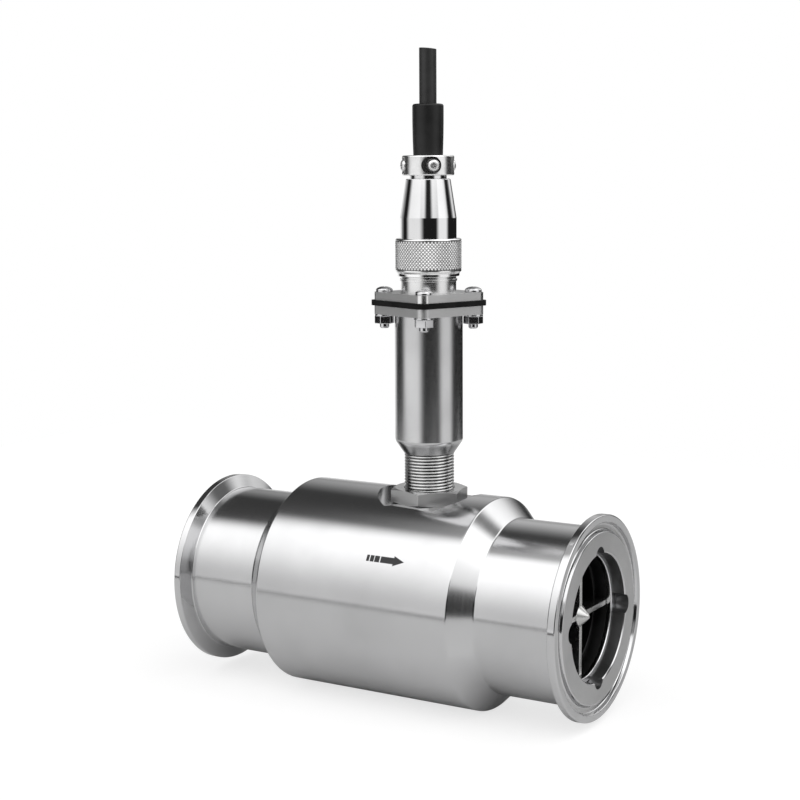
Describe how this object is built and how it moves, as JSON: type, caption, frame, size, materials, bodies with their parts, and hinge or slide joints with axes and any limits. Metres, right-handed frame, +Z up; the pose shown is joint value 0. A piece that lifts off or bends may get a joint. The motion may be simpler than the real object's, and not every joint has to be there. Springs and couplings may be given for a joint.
{
  "type": "turbine flow meter",
  "caption": "Turbine flow meter with sanitary clamp ends, a helical rotor between straighteners and a pickup stem with a screwed cable plug.",
  "frame": {"origin": "centre of the inlet clamp face, on the flow axis", "axes": "+X along the flow to the outlet, +Z up the pickup stem, +Y to the back"},
  "size_m": [0.14, 0.068, 0.2074],
  "materials": {
    "polished_stainless": "turned and polished stainless steel",
    "satin_stainless": "fine ground stainless steel",
    "cast_straightener": "brazed stainless steel with an as-cast skin",
    "ring_steel": "bright spring steel",
    "rotor_steel": "machined ferritic stainless steel",
    "bearing_carbide": "ground hard metal",
    "nut_steel": "machined stainless steel",
    "flange_casting": "matt grey zinc casting",
    "gasket_rubber": "matt black rubber",
    "connector_chrome": "bright chrome plate",
    "knurled_nickel": "knurled nickel plate",
    "fastener_steel": "bright zinc plate",
    "insert_plastic": "black thermoset insert",
    "contact_brass": "gold flashed brass",
    "coil_copper": "enamelled copper wire",
    "bobbin_plastic": "moulded bobbin",
    "magnet_alloy": "cast magnet alloy",
    "board_laminate": "green circuit board laminate",
    "component_black": "moulded component bodies",
    "boot_rubber": "matt black rubber",
    "cable_jacket": "matt black cable jacket",
    "core_insulation": "coloured core insulation"
  },
  "bodies": {
    "meter": {"meter_body": "polished_stainless", "inlet_snap_ring": "ring_steel", "outlet_snap_ring": "ring_steel", "inlet_straightener": "cast_straightener", "outlet_straightener": "cast_straightener", "inlet_bearing": "bearing_carbide", "outlet_bearing": "bearing_carbide", "inlet_thrust_disc": "bearing_carbide", "outlet_thrust_disc": "bearing_carbide", "lock_nut": "nut_steel", "pickup_housing": "satin_stainless", "pole_pin": "magnet_alloy", "pickup_magnet": "magnet_alloy", "coil_bobbin": "bobbin_plastic", "coil_winding": "coil_copper", "amplifier_board": "board_laminate", "board_components": "component_black", "housing_flange": "flange_casting", "flange_gasket": "gasket_rubber", "receptacle_shell": "flange_casting", "receptacle_insert": "insert_plastic", "receptacle_pins": "contact_brass", "flange_screws": "fastener_steel", "flange_washers": "fastener_steel", "flange_nuts": "fastener_steel"},
    "rotor": {"rotor": "rotor_steel", "rotor_shaft": "bearing_carbide"},
    "plug": {"plug_sleeve": "connector_chrome", "plug_insert": "insert_plastic", "plug_sockets": "contact_brass", "backshell": "connector_chrome", "clamp_ring": "connector_chrome", "clamp_screws": "fastener_steel", "cable_boot": "boot_rubber", "cable_jacket": "cable_jacket", "cable_cores": "core_insulation"},
    "coupling_nut": {"coupling_nut": "knurled_nickel"}
  },
  "joints": [
    {"name": "rotor_spin", "type": "hinge", "parent": "meter", "child": "rotor", "pos_m": [0.08, 0, 0], "axis": [1, 0, 0], "continuous": true},
    {"name": "plug_lift", "type": "slide", "parent": "meter", "child": "plug", "axis": [0, 0, 1], "range_m": [0, 0.005]},
    {"name": "coupling_nut_turn", "type": "hinge", "parent": "plug", "child": "coupling_nut", "pos_m": [0.08, 0, 0.109], "axis": [0, 0, 1], "range_deg": [0, 1800]}
  ],
  "couplings": [
    {"joint": "coupling_nut_turn", "follows": "plug_lift", "rad_per_m": 6283.2}
  ]
}
